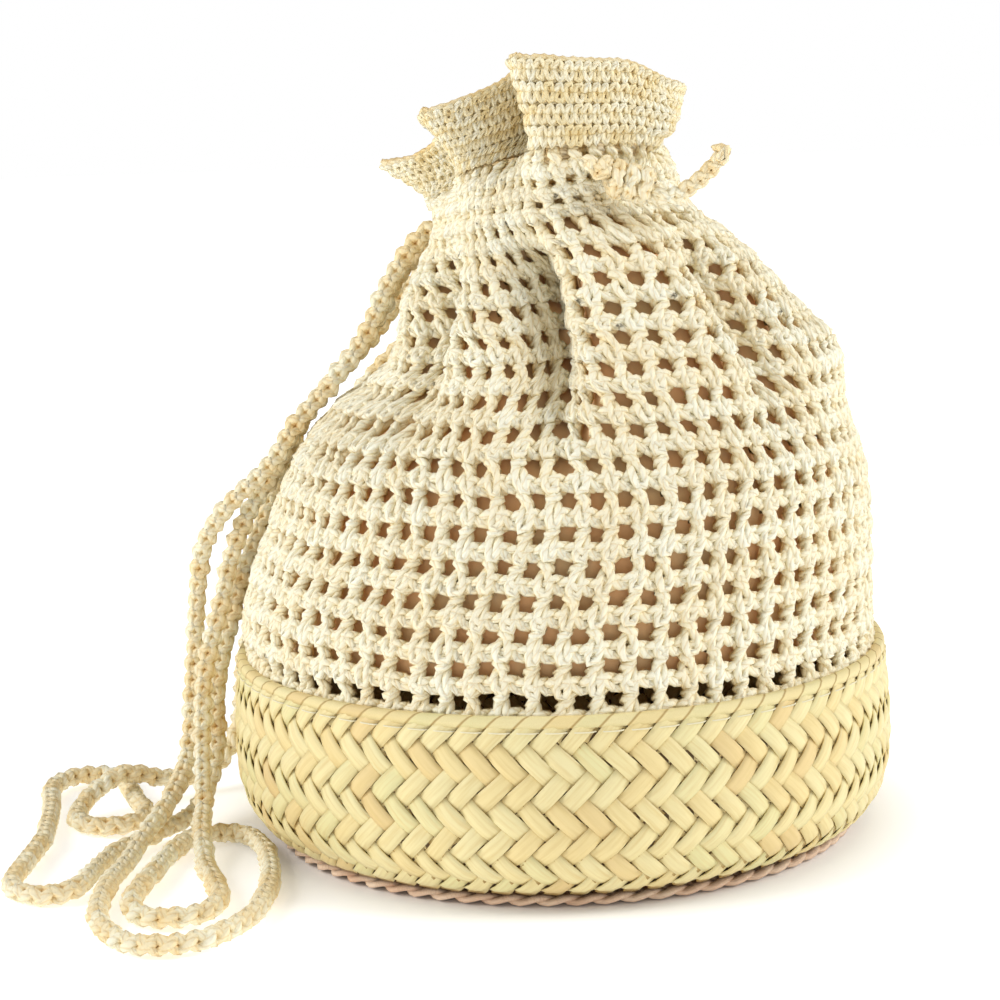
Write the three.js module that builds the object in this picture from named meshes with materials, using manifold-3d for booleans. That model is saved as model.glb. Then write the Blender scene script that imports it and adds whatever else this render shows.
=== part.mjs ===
// Small drawstring backpack: a plaited palm basket below, a gathered and lined crochet bag above,
// a frilled border, a neck cord with its knot, and two long cord straps laid down the left side.
// Millimetres, +Z up. The origin is the middle of the underside, and -Y is the front.
// Angles go round the bag from the front: 90 is the right-hand side, -90 the left.

import * as THREE from 'three';
import { mergeVertices } from 'three/addons/utils/BufferGeometryUtils.js';
import Module from 'manifold-3d';

// Basket
const basketHeight = 77;
const basketWallThickness = 3;
const baseRadius = 119.5;
const baseThickness = 5.5;
const baseEdgeRound = 1.2;
const basketFacets = 60;

// Crochet
const crochetThickness = 5;
const liningThickness = 1;
const liningGap = 1.4;
const liningEndRings = 1;
const bodyRings = 19;
const frillRings = 6;
const wallFacets = 72;
const outlineSamples = 720;

// Neck: the cord lies in the open row between the body and the frill
const neckHeight = 255;
const neckCentreX = 6;
const neckTiltRight = 4;
const neckTiltFront = 7;
const neckHalfWidth = 53;
const neckHalfDepth = 52;
const neckCordRadius = 3.5;
const neckCordRing = 41;
const neckCordSides = 8;
const neckCordSteps = 48;
const neckRowHalf = 4;

// Straps
const strapRadius = 4.5;
const strapSides = 10;
const strapSteps = 80;

const gap = 0.3;
const sameVertex = 1e-4;

// Outer outline of the basket wall, from the base up to the rim.
const basketOutline = [
  { height: baseThickness + gap, radius: 120 },
  { height: 9, radius: 127.5 },
  { height: 16, radius: 133 },
  { height: 27, radius: 136.4 },
  { height: 42, radius: 137.3 },
  { height: 60, radius: 136.4 },
  { height: basketHeight - 1, radius: 134.6 },
  { height: basketHeight, radius: 134 },
];

// Sections of the gathered bag, from inside the rim up to the neck.
const bodySections = [
  { height: 64, centreX: 0, halfWidth: 130.4, halfDepth: 130.4 },
  { height: 77, centreX: 0, halfWidth: 130.2, halfDepth: 130.2 },
  { height: 92, centreX: -1, halfWidth: 130, halfDepth: 130 },
  { height: 110, centreX: 1, halfWidth: 128, halfDepth: 127.5 },
  { height: 130, centreX: 5, halfWidth: 124, halfDepth: 123 },
  { height: 150, centreX: 8, halfWidth: 119, halfDepth: 117 },
  { height: 172, centreX: 11, halfWidth: 109, halfDepth: 106 },
  { height: 194, centreX: 17, halfWidth: 97, halfDepth: 92 },
  { height: 214, centreX: 16, halfWidth: 83, halfDepth: 78 },
  { height: 233, centreX: 13, halfWidth: 69, halfDepth: 65 },
  {
    height: neckHeight - neckRowHalf,
    centreX: neckCentreX,
    halfWidth: neckHalfWidth,
    halfDepth: neckHalfDepth,
  },
];

// Folds drawn in by the neck cord. Each runs down from the neck and fades out at its foot.
// The foot, neck and frill columns say where round the bag it lies at each of those levels, left and
// right are its half widths on each side, and pinch is the share of its depth that is left at the neck.
const folds = [
  { name: 'front', foot: -3, neck: -21, frill: -34, depth: 34, left: 14, right: 7, run: 118, pinch: 0.06 },
  { name: 'front left', foot: -46, neck: -64, frill: -76, depth: 25, left: 11, right: 11, run: 108, pinch: 0.08 },
  { name: 'left', foot: -102, neck: -104, frill: -108, depth: 24, left: 11, right: 11, run: 84, pinch: 1 },
  { name: 'back left', foot: -140, neck: -142, frill: -142, depth: 24, left: 11, right: 11, run: 92, pinch: 1 },
  { name: 'back', foot: 176, neck: 178, frill: 180, depth: 23, left: 11, right: 11, run: 110, pinch: 1 },
  { name: 'back right', foot: 142, neck: 142, frill: 144, depth: 24, left: 11, right: 11, run: 96, pinch: 1 },
  { name: 'right', foot: 113, neck: 108, frill: 108, depth: 22, left: 10, right: 10, run: 88, pinch: 1 },
  { name: 'front right', foot: 42, neck: 46, frill: 78, depth: 20, left: 9, right: 14, run: 116, pinch: 0.1 },
];
const foldFade = 0.6;
// Length of cloth under the neck, and share of the frill over it, in which a pinched fold opens
const pinchLength = 36;
const pinchShare = 0.6;
// How late the bag takes up the tilt of the neck, on its way up
const tiltOnset = 3;

// Slumped places on the bag and frill, with heights before the neck is tilted. Dents have a positive
// depth, and the shoulder and the flap stand out. The knot lies in its own crease.
const dents = [
  { name: 'left shelf', angle: -54, height: 184, depth: 9, spread: 24, tall: 13 },
  { name: 'left hollow', angle: -92, height: 200, depth: 11, spread: 28, tall: 17 },
  { name: 'front shelf', angle: 4, height: 176, depth: 4, spread: 26, tall: 12 },
  { name: 'right shoulder', angle: 94, height: 198, depth: -5, spread: 18, tall: 15 },
  { name: 'back shelf', angle: 158, height: 182, depth: 7, spread: 26, tall: 14 },
  { name: 'knot crease', angle: 32, height: 258, depth: 12, spread: 26, tall: 11 },
  { name: 'right crease', angle: 84, height: 265, depth: 7, spread: 22, tall: 8 },
  { name: 'flap bulge', angle: 60, height: 279, depth: -8, spread: 22, tall: 11 },
];

// Lobes of the frill: how far each leans out from the neck and how far it rises.
const lobes = [
  { name: 'left', angle: -90, flare: 29, rise: 20 },
  { name: 'second', angle: -58, flare: 19, rise: 37 },
  { name: 'flap left', angle: -24, flare: 8, rise: 53 },
  { name: 'flap right', angle: 20, flare: 4, rise: 48 },
  { name: 'flap end', angle: 56, flare: 5, rise: 39 },
  { name: 'right', angle: 92, flare: -3, rise: 16 },
  { name: 'back right', angle: 126, flare: 8, rise: 32 },
  { name: 'back', angle: 161, flare: 10, rise: 40 },
  { name: 'back left', angle: 199, flare: 12, rise: 38 },
  { name: 'left back', angle: 236, flare: 16, rise: 33 },
];
// How late the frill leans out, on its way up
const flareOnset = 1.4;

// Route of each strap, from the neck down the left side, round its loops on the floor and back.
const strapRoutes = {
  strap_a: [
    [-39.3, 7.2, 250], [-50, 8, 248], [-65, 6, 230], [-77, 4, 206], [-91, 2, 188],
    [-107, 1, 171], [-118, 1, 155], [-135, 3, 139], [-148, 8, 121], [-156, 11, 66],
    [-160, 6, 30], [-166, -16, 16], [-170, -36, 12.6],
    [-177, -64, 5.8], [-181.5, -102, 5], [-177, -136, 5], [-160, -159, 5], [-138, -157, 5],
    [-122, -134, 5], [-117, -98, 5], [-121, -62, 5], [-126, -44, 5], [-132, -32.5, 5],
    [-143, -27.5, 5], [-154, -32.5, 5], [-160, -48, 5], [-165, -78, 5], [-169, -104, 5], [-165, -125, 5],
    [-153, -132, 5], [-140, -127, 5], [-135, -112, 5], [-139, -92, 5], [-145, -70, 5.6],
    [-149, -46, 10.5], [-150, -28, 17], [-151, -14, 38], [-149, -9, 68], [-141, -2, 98],
    [-137, 4, 114], [-128, 10, 135], [-116, 12, 152], [-105, 12, 172], [-90, 13, 189],
    [-76, 15, 206], [-58, 20, 235], [-36.8, 16.4, 249],
  ],
  strap_b: [
    [-25.9, 33, 247], [-37, 43, 243], [-58, 46, 223], [-84, 38, 194], [-104, 27, 172],
    [-120, 23, 138], [-135, 12, 100], [-145, 3, 62], [-148, 1, 28], [-156, -9, 9],
    [-172, -27, 5], [-184, -50, 5], [-189, -70, 5], [-191, -87, 5], [-195.5, -96, 5],
    [-205, -100, 5], [-215, -95.5, 5], [-219.5, -85, 5], [-219, -62, 5], [-217, -30, 5],
    [-221, 12, 5],
    [-226, 45, 5], [-221.5, 60, 5], [-210, 65.3, 5], [-198.5, 60, 5], [-193, 45, 5],
    [-185, 21, 5], [-179, 5, 5], [-182.5, -8.8, 5], [-193.5, -13.3, 5], [-204.5, -8.8, 5],
    [-208, 4, 5.3], [-204, 19, 10],
    [-191, 29, 15.2], [-175, 38, 10], [-157, 49, 9], [-144, 51, 27], [-138, 48, 62],
    [-128, 51, 96], [-98, 69, 158], [-46, 68, 214], [-28, 55, 238], [-18.2, 39, 247],
  ],
};

// Knot of the neck cord, at the front right, with its short tail
const knot = { angle: 25, reach: 57, lift: 6, length: 28, height: 17, depth: 14, turn: 14 };
const knotTail = [[44, -55, 262], [54, -56, 266], [61, -56, 272], [66, -56, 277]];
const knotSides = 20;
const knotRows = 12;
const knotLeadSteps = 4;
const knotTailSteps = 6;

const radians = THREE.MathUtils.degToRad;
const smoothstep = THREE.MathUtils.smoothstep;

// Value of one column of a table at a place between its rows, on a smooth curve
function columnAt(rows, column, place) {
  const last = rows.length - 1;
  const low = Math.min(Math.floor(place), last - 1);
  const share = place - low;
  const [a, b, c, d] = [low - 1, low, low + 1, low + 2].map(
    (index) => rows[THREE.MathUtils.clamp(index, 0, last)][column]);
  const inSlope = (c - a) / 2;
  const outSlope = (d - b) / 2;
  const square = share * share;
  const cube = square * share;
  return b * (2 * cube - 3 * square + 1) + inSlope * (cube - 2 * square + share)
    + c * (3 * square - 2 * cube) + outSlope * (cube - square);
}

// Smallest turn from one angle to another, in degrees
function turnBetween(from, to) {
  return THREE.MathUtils.euclideanModulo(to - from + 180, 360) - 180;
}

// Rise and fall of the neck round its ring
function neckLift(angle) {
  return neckTiltRight * Math.sin(radians(angle)) + neckTiltFront * Math.cos(radians(angle));
}

function ellipseRadius(angle, halfWidth, halfDepth) {
  return 1 / Math.hypot(Math.sin(radians(angle)) / halfWidth, Math.cos(radians(angle)) / halfDepth);
}

// How deep the folds are at one angle, where each fold has its own place and depth
function foldDepth(angle, radius, placeOf, depthOf) {
  return folds.reduce((sum, fold) => {
    const along = radians(turnBetween(placeOf(fold), angle)) * radius;
    const halfWidth = along < 0 ? fold.left : fold.right;
    return sum + depthOf(fold) * Math.exp(-((along / halfWidth) ** 2));
  }, 0);
}

function dentDepth(angle, height) {
  return dents.reduce((sum, dent) => {
    const round = turnBetween(dent.angle, angle) / dent.spread;
    const up = (height - dent.height) / dent.tall;
    return sum + dent.depth * Math.exp(-round * round - up * up);
  }, 0);
}

// Depth of a fold that opens from its pinched place at the neck
function openedDepth(fold, share) {
  return fold.depth * (fold.pinch + (1 - fold.pinch) * smoothstep(share, 0, 1));
}

function pointAt(angle, radius, centreX, height) {
  const x = centreX + radius * Math.sin(radians(angle));
  return new THREE.Vector3(x, -radius * Math.cos(radians(angle)), height);
}

// Length of cloth from each body section up to the neck
const clothBelowNeck = bodySections.map(() => 0);
for (let row = bodySections.length - 2; row >= 0; row -= 1) {
  const [low, high] = [bodySections[row], bodySections[row + 1]];
  const step = Math.hypot(high.height - low.height, high.halfWidth - low.halfWidth);
  clothBelowNeck[row] = clothBelowNeck[row + 1] + step;
}
const clothRows = clothBelowNeck.map((length) => ({ length }));

// Outer point of the bag at a place in the section table, drawn in by inset
function bodyPoint(angle, place, inset) {
  const [height, centreX, halfWidth, halfDepth] = ['height', 'centreX', 'halfWidth', 'halfDepth'].map(
    (column) => columnAt(bodySections, column, place));
  const below = columnAt(clothRows, 'length', place);
  const plain = ellipseRadius(angle, halfWidth, halfDepth);
  const foldPlace = (fold) => fold.neck + (fold.foot - fold.neck) * Math.min(below / fold.run, 1);
  const foldSize = (fold) => openedDepth(fold, below / pinchLength)
    * smoothstep(fold.run - below, 0, fold.run * foldFade);
  const radius = plain - foldDepth(angle, plain, foldPlace, foldSize) - dentDepth(angle, height) - inset;
  const neckShare = (place / (bodySections.length - 1)) ** tiltOnset;
  return pointAt(angle, radius, centreX, height + neckLift(angle) * neckShare);
}

// Flare or rise of the frill at an angle, eased from lobe to lobe
function lobeAt(angle, column) {
  const from = lobes[0].angle;
  const turned = from + THREE.MathUtils.euclideanModulo(angle - from, 360);
  const index = lobes.findLastIndex((lobe) => lobe.angle <= turned);
  const next = lobes[(index + 1) % lobes.length];
  const nextAngle = index + 1 < lobes.length ? next.angle : next.angle + 360;
  const share = smoothstep(turned, lobes[index].angle, nextAngle);
  return lobes[index][column] + (next[column] - lobes[index][column]) * share;
}

// Outer point of the frill, where up goes from 0 at the neck cord to 1 at the border
function frillPoint(angle, up, inset) {
  const plain = ellipseRadius(angle, neckHalfWidth, neckHalfDepth);
  const flare = lobeAt(angle, 'flare') * up ** flareOnset;
  const foldPlace = (fold) => fold.neck + (fold.frill - fold.neck) * up;
  const height = neckHeight + neckRowHalf + lobeAt(angle, 'rise') * up;
  const depth = foldDepth(angle, plain, foldPlace, (fold) => openedDepth(fold, up / pinchShare));
  const radius = plain + flare - depth - dentDepth(angle, height) - inset;
  return pointAt(angle, radius, neckCentreX, height + neckLift(angle));
}

// Angles that split an outline into equal lengths, starting at the back
function evenAngles(pointOf) {
  const angles = Array.from({ length: outlineSamples + 1 }, (_, i) => -180 + (360 * i) / outlineSamples);
  const points = angles.map(pointOf);
  const lengths = [0];
  for (let i = 1; i < points.length; i += 1) {
    lengths.push(lengths[i - 1] + points[i].distanceTo(points[i - 1]));
  }
  const step = lengths.at(-1) / wallFacets;
  return Array.from({ length: wallFacets }, (_, i) => {
    const above = Math.max(lengths.findIndex((length) => length > i * step), 1);
    const share = (i * step - lengths[above - 1]) / (lengths[above] - lengths[above - 1]);
    return angles[above - 1] + share * (angles[above] - angles[above - 1]);
  });
}

// Closed wall between an outer and an inner surface, each given ring by ring and drawn in by its inset
function wallGeometry(surfacePoint, ringPlaces, outerInset, thickness) {
  const outer = [];
  const inner = [];
  for (const place of ringPlaces) {
    const angles = evenAngles((angle) => surfacePoint(angle, place, 0));
    outer.push(...angles.map((angle) => surfacePoint(angle, place, outerInset)));
    inner.push(...angles.map((angle) => surfacePoint(angle, place, outerInset + thickness)));
  }
  const innerStart = outer.length;
  const top = (ringPlaces.length - 1) * wallFacets;
  const triangles = [];
  const quad = (a, b, c, d) => triangles.push(a, b, c, a, c, d);
  for (let i = 0; i < wallFacets; i += 1) {
    const j = (i + 1) % wallFacets;
    for (let ring = 0; ring < top; ring += wallFacets) {
      const above = ring + wallFacets;
      quad(ring + i, ring + j, above + j, above + i);
      quad(innerStart + ring + i, innerStart + above + i, innerStart + above + j, innerStart + ring + j);
    }
    quad(top + i, top + j, innerStart + top + j, innerStart + top + i);
    quad(innerStart + i, innerStart + j, j, i);
  }
  const geometry = new THREE.BufferGeometry().setFromPoints([...outer, ...inner]);
  geometry.setIndex(triangles);
  return geometry;
}

function evenSteps(count, last) {
  return Array.from({ length: count }, (_, i) => (last * i) / (count - 1));
}

// Round tube along a smooth curve through its points
function tubeGeometry(points, radius, sides, steps) {
  const section = new THREE.Shape();
  for (let i = 0; i < sides; i += 1) {
    const turn = (2 * Math.PI * i) / sides;
    const corner = [radius * Math.cos(turn), radius * Math.sin(turn)];
    if (i === 0) section.moveTo(...corner);
    else section.lineTo(...corner);
  }
  section.closePath();
  const extrudePath = new THREE.CatmullRomCurve3(points.map((point) => new THREE.Vector3(...point)));
  return new THREE.ExtrudeGeometry(section, { steps, extrudePath, bevelEnabled: false });
}

function latheGeometry(profile) {
  const points = profile.map(([radius, height]) => new THREE.Vector2(radius, height));
  return new THREE.LatheGeometry(points, basketFacets).rotateX(Math.PI / 2);
}

function basketBaseGeometry() {
  return latheGeometry([
    [0, 0],
    [baseRadius - baseEdgeRound, 0],
    [baseRadius, baseEdgeRound],
    [baseRadius, baseThickness - baseEdgeRound],
    [baseRadius - baseEdgeRound, baseThickness],
    [0, baseThickness],
  ]);
}

function basketWallGeometry() {
  const outside = basketOutline.map(({ radius, height }) => [radius, height]);
  const inside = basketOutline.map(({ radius, height }) => [radius - basketWallThickness, height]);
  return latheGeometry([...outside, ...inside.reverse(), outside[0]]);
}

const wasm = await Module();
wasm.setup();

function toSolid(geometry) {
  const bare = geometry.clone();
  bare.deleteAttribute('normal');
  bare.deleteAttribute('uv');
  const merged = mergeVertices(bare, sameVertex);
  return new wasm.Manifold(new wasm.Mesh({
    numProp: 3,
    vertProperties: Float32Array.from(merged.attributes.position.array),
    triVerts: Uint32Array.from(merged.index.array),
  }));
}

function toGeometry(solid) {
  const mesh = solid.getMesh();
  const geometry = new THREE.BufferGeometry();
  geometry.setAttribute('position', new THREE.Float32BufferAttribute(mesh.vertProperties, 3));
  geometry.setIndex(Array.from(mesh.triVerts));
  return geometry;
}

// Tilted ring of the neck cord, sheared so that its plan stays round
function neckCordGeometry() {
  const ring = new THREE.TorusGeometry(neckCordRing, neckCordRadius, neckCordSides, neckCordSteps);
  const tilt = new THREE.Matrix4().makeShear(
    0, neckTiltRight / neckCordRing, 0, -neckTiltFront / neckCordRing, 0, 0);
  return ring.applyMatrix4(tilt).translate(neckCentreX, 0, neckHeight);
}

// Knot with the lead that comes out of the neck row and the tail that sticks out of it
function neckKnotGeometry() {
  const ringLevel = neckHeight + neckLift(knot.angle);
  const leadStart = pointAt(knot.angle, neckCordRing + neckCordRadius + gap, neckCentreX, ringLevel);
  const centre = pointAt(knot.angle, knot.reach, neckCentreX, ringLevel + knot.lift);
  const leadBend = pointAt(knot.angle, knot.reach - knot.depth / 2, neckCentreX, ringLevel);
  const lump = new THREE.SphereGeometry(0.5, knotSides, knotRows);
  lump.scale(knot.length, knot.depth, knot.height);
  lump.rotateY(radians(knot.turn)).translate(centre.x, centre.y, centre.z);
  const leadPoints = [leadStart, leadBend, centre].map((point) => point.toArray());
  const lead = tubeGeometry(leadPoints, neckCordRadius, neckCordSides, knotLeadSteps);
  const tailPoints = [centre.toArray(), ...knotTail];
  const tail = tubeGeometry(tailPoints, neckCordRadius, neckCordSides, knotTailSteps);
  return toGeometry(toSolid(lump).add(toSolid(lead)).add(toSolid(tail)));
}

const finishes = {
  palm: { color: 0xe9dca0, roughness: 0.62, metalness: 0 },
  palmEdge: { color: 0xbf8f72, roughness: 0.7, metalness: 0 },
  cotton: { color: 0xf0e2c2, roughness: 0.92, metalness: 0 },
  cottonCord: { color: 0xeeddb8, roughness: 0.92, metalness: 0 },
  liningCloth: { color: 0xb98a5e, roughness: 0.95, metalness: 0 },
};

const backpack = new THREE.Group();

function addPiece(name, geometry, finish) {
  const mesh = new THREE.Mesh(geometry, new THREE.MeshStandardMaterial(finishes[finish]));
  mesh.name = name;
  backpack.add(mesh);
}

addPiece('basket_base', basketBaseGeometry(), 'palmEdge');
addPiece('basket_wall', basketWallGeometry(), 'palm');
const bodyPlaces = evenSteps(bodyRings, bodySections.length - 1);
const liningPlaces = bodyPlaces.slice(liningEndRings, -liningEndRings);
addPiece('crochet_body', wallGeometry(bodyPoint, bodyPlaces, 0, crochetThickness), 'cotton');
addPiece('lining', wallGeometry(bodyPoint, liningPlaces, crochetThickness + liningGap, liningThickness), 'liningCloth');
addPiece('frill', wallGeometry(frillPoint, evenSteps(frillRings, 1), 0, crochetThickness), 'cotton');
addPiece('neck_cord', neckCordGeometry(), 'cottonCord');
addPiece('neck_cord_knot', neckKnotGeometry(), 'cottonCord');
for (const [name, route] of Object.entries(strapRoutes)) {
  addPiece(name, tubeGeometry(route, strapRadius, strapSides, strapSteps), 'cottonCord');
}

export default backpack;
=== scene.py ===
import math

import bmesh
import bpy
import numpy as np
from mathutils import Matrix, Vector


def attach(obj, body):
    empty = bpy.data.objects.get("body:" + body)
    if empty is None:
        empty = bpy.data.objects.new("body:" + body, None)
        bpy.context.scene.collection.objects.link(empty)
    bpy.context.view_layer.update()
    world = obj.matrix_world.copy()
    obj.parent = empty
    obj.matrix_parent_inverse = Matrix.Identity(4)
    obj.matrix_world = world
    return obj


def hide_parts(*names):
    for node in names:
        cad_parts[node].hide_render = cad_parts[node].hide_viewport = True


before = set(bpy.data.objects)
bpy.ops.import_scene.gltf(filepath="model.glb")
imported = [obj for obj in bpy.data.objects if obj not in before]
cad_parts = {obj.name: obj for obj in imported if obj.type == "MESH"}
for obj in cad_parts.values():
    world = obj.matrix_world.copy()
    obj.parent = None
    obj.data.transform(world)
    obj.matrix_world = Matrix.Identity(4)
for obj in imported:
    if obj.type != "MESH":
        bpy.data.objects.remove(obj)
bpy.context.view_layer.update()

# Crochet backpack: a plaited palm basket, a gathered crochet bag with a frill, a neck cord and two straps.
# Metres, +Z up, -Y is the front. Angles go round the bag from the front, and 90 is the right-hand side.

scene = bpy.context.scene
scene.view_settings.view_transform = "Standard"

# Camera
camera = {
    "place": (-0.0232, -1.0, 0.31),
    "pitch": 0.172,  # radians below level
    "roll": 0.033,
    "lens": 87.55,  # mm
    "sensor": 36.0,
}
cameraData = bpy.data.cameras.new("camera")
cameraData.lens = camera["lens"]
cameraData.sensor_width = camera["sensor"]
cameraObject = bpy.data.objects.new("camera", cameraData)
scene.collection.objects.link(cameraObject)
aim = Matrix.Rotation(math.pi / 2 - camera["pitch"], 4, "X") @ Matrix.Rotation(-camera["roll"], 4, "Z")
cameraObject.matrix_world = Matrix.Translation(camera["place"]) @ aim
scene.camera = cameraObject
print("camera placed")


# Node helpers: a value that is a socket is linked, and any other is set on the input
def addNode(tree, kind, inputs=(), **settings):
    node = tree.nodes.new(kind)
    for name, value in settings.items():
        setattr(node, name, value)
    for key, value in dict(inputs).items():
        if isinstance(value, bpy.types.NodeSocket):
            tree.links.new(value, node.inputs[key])
        else:
            node.inputs[key].default_value = value
    return node


def mathOf(tree, operation, first, second=0.0):
    return addNode(tree, "ShaderNodeMath", {0: first, 1: second}, operation=operation).outputs[0]


def vectorOf(tree, operation, first, second=(0, 0, 0)):
    return addNode(tree, "ShaderNodeVectorMath", {0: first, 1: second}, operation=operation).outputs[0]


def scaledBy(tree, vector, factor):
    return addNode(tree, "ShaderNodeVectorMath", {0: vector, "Scale": factor}, operation="SCALE").outputs[0]


def splitOf(tree, vector):
    return addNode(tree, "ShaderNodeSeparateXYZ", {0: vector}).outputs


def joinOf(tree, x, y, z):
    return addNode(tree, "ShaderNodeCombineXYZ", {0: x, 1: y, 2: z}).outputs[0]


def rangeOf(tree, value, fromLow, fromHigh, toLow, toHigh):
    node = addNode(tree, "ShaderNodeMapRange", {0: value, 1: fromLow, 2: fromHigh, 3: toLow, 4: toHigh})
    return node.outputs[0]


def noiseOf(tree, place, scale, detail):
    return addNode(tree, "ShaderNodeTexNoise", {"Vector": place, "Scale": scale, "Detail": detail}).outputs


def namedVector(tree, name):
    node = addNode(tree, "GeometryNodeInputNamedAttribute", {"Name": name}, data_type="FLOAT_VECTOR")
    return node.outputs[0]


def newTree(name, sockets):
    tree = bpy.data.node_groups.new(name, "GeometryNodeTree")
    tree.interface.new_socket("Geometry", in_out="INPUT", socket_type="NodeSocketGeometry")
    for socketName, kind in sockets.items():
        tree.interface.new_socket(socketName, in_out="INPUT", socket_type="NodeSocket" + kind)
    tree.interface.new_socket("Geometry", in_out="OUTPUT", socket_type="NodeSocketGeometry")
    return tree, addNode(tree, "NodeGroupInput").outputs


def randomKind(tree, kinds, seed):
    chance = addNode(tree, "FunctionNodeRandomValue", {"Seed": seed}, data_type="FLOAT").outputs["Value"]
    return mathOf(tree, "FLOOR", mathOf(tree, "MULTIPLY", chance, kinds))


# Points that each carry a cell number and a random tone, with a stitch put on each and made real
def stitchesOf(tree, count, cell, stitches, pick, seed):
    points = addNode(tree, "GeometryNodePoints", {"Count": count}).outputs[0]
    numbered = addNode(tree, "GeometryNodeStoreNamedAttribute",
                       {"Geometry": points, "Name": "cell", "Value": cell}, data_type="FLOAT_VECTOR")
    tone = addNode(tree, "FunctionNodeRandomValue", {"Seed": seed}, data_type="FLOAT").outputs["Value"]
    toned = addNode(tree, "GeometryNodeStoreNamedAttribute",
                    {"Geometry": numbered.outputs[0], "Name": "tone", "Value": tone}, data_type="FLOAT")
    choice = addNode(tree, "GeometryNodeCollectionInfo", {
        "Collection": stitches, "Separate Children": True, "Reset Children": True})
    placed = addNode(tree, "GeometryNodeInstanceOnPoints", {
        "Points": toned.outputs[0], "Instance": choice.outputs[0], "Pick Instance": True,
        "Instance Index": pick})
    return addNode(tree, "GeometryNodeRealizeInstances", {0: placed.outputs[0]}).outputs[0]


weldDistance = 2e-5  # joins the strands of a stitch to those of the next


def finishTree(tree, geometry, place, finish):
    moved = addNode(tree, "GeometryNodeSetPosition", {"Geometry": geometry, "Position": place}).outputs[0]
    welded = addNode(tree, "GeometryNodeMergeByDistance", {
        "Geometry": moved, "Distance": weldDistance}).outputs[0]
    for name in ("spine", "cell"):
        welded = addNode(tree, "GeometryNodeRemoveAttribute", {"Geometry": welded, "Name": name}).outputs[0]
    smooth = addNode(tree, "GeometryNodeSetShadeSmooth", {0: welded}).outputs[0]
    coloured = addNode(tree, "GeometryNodeSetMaterial", {"Geometry": smooth, "Material": finish}).outputs[0]
    addNode(tree, "NodeGroupOutput", {0: coloured})
    return tree


# Stitches in columns and rows over a surface. A stitch keeps its yarn thickness, and only its path stretches.
def makeWrapTree():
    tree, given = newTree("stitches over a surface", {
        "Stitches": "Collection", "Kinds": "Int", "Row Kinds": "Int", "Columns": "Int", "Rows": "Int",
        "Low Row": "Float", "All Rows": "Float", "Lift": "Float",
        "Wobble": "Vector", "Wobble Scale": "Float", "Seed": "Int", "Finish": "Material"})
    index = addNode(tree, "GeometryNodeInputIndex").outputs[0]
    column = mathOf(tree, "FLOORED_MODULO", index, given["Columns"])
    row = mathOf(tree, "FLOOR", mathOf(tree, "DIVIDE", mathOf(tree, "ADD", index, 0.5), given["Columns"]))
    count = mathOf(tree, "MULTIPLY", given["Columns"], given["Rows"])
    rowKind = mathOf(tree, "FLOORED_MODULO", row, given["Row Kinds"])
    firstKind = mathOf(tree, "MULTIPLY", rowKind, given["Kinds"])
    pick = mathOf(tree, "ADD", firstKind, randomKind(tree, given["Kinds"], given["Seed"]))
    cell = joinOf(tree, column, mathOf(tree, "ADD", row, given["Low Row"]), 0.0)
    stitches = stitchesOf(tree, count, cell, given["Stitches"], pick, given["Seed"])
    place = vectorOf(tree, "ADD", namedVector(tree, "cell"), namedVector(tree, "spine"))
    acrossPlace, upPlace, outPlace = splitOf(tree, place)
    radius = mathOf(tree, "DIVIDE", given["Columns"], 2 * math.pi)
    turn = mathOf(tree, "DIVIDE", acrossPlace, radius)
    drum = joinOf(tree, mathOf(tree, "MULTIPLY", mathOf(tree, "COSINE", turn), radius),
                  mathOf(tree, "MULTIPLY", mathOf(tree, "SINE", turn), radius), upPlace)
    noise = noiseOf(tree, drum, given["Wobble Scale"], 2.0)["Color"]
    sway = vectorOf(tree, "MULTIPLY", vectorOf(tree, "SUBTRACT", noise, (0.5, 0.5, 0.5)), given["Wobble"])
    swayAcross, swayUp, swayOut = splitOf(tree, sway)
    swayed = mathOf(tree, "ADD", acrossPlace, swayAcross)
    u = mathOf(tree, "FRACT", mathOf(tree, "DIVIDE", swayed, given["Columns"]))
    v = mathOf(tree, "DIVIDE", mathOf(tree, "ADD", upPlace, swayUp), given["All Rows"])
    inside = mathOf(tree, "MINIMUM", mathOf(tree, "MAXIMUM", v, 0.0005), 0.9995)
    spot = joinOf(tree, u, inside, 0.0)

    def sampled(field):
        return addNode(tree, "GeometryNodeSampleUVSurface", {
            "Mesh": given["Geometry"], "Value": field, "UV Map": namedVector(tree, "weave"),
            "Sample UV": spot}, data_type="FLOAT_VECTOR").outputs[0]

    skinAcross, skinUp, skinOut = splitOf(tree, addNode(tree, "GeometryNodeInputPosition").outputs[0])
    out = mathOf(tree, "ADD", mathOf(tree, "ADD", skinOut, outPlace),
                 mathOf(tree, "ADD", swayOut, given["Lift"]))
    surface = sampled(addNode(tree, "GeometryNodeInputPosition").outputs[0])
    shifts = [scaledBy(tree, sampled(namedVector(tree, name)), amount)
              for name, amount in (("around", skinAcross), ("up", skinUp), ("out", out))]
    for shift in shifts:
        surface = vectorOf(tree, "ADD", surface, shift)
    return finishTree(tree, stitches, surface, given["Finish"])


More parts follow.
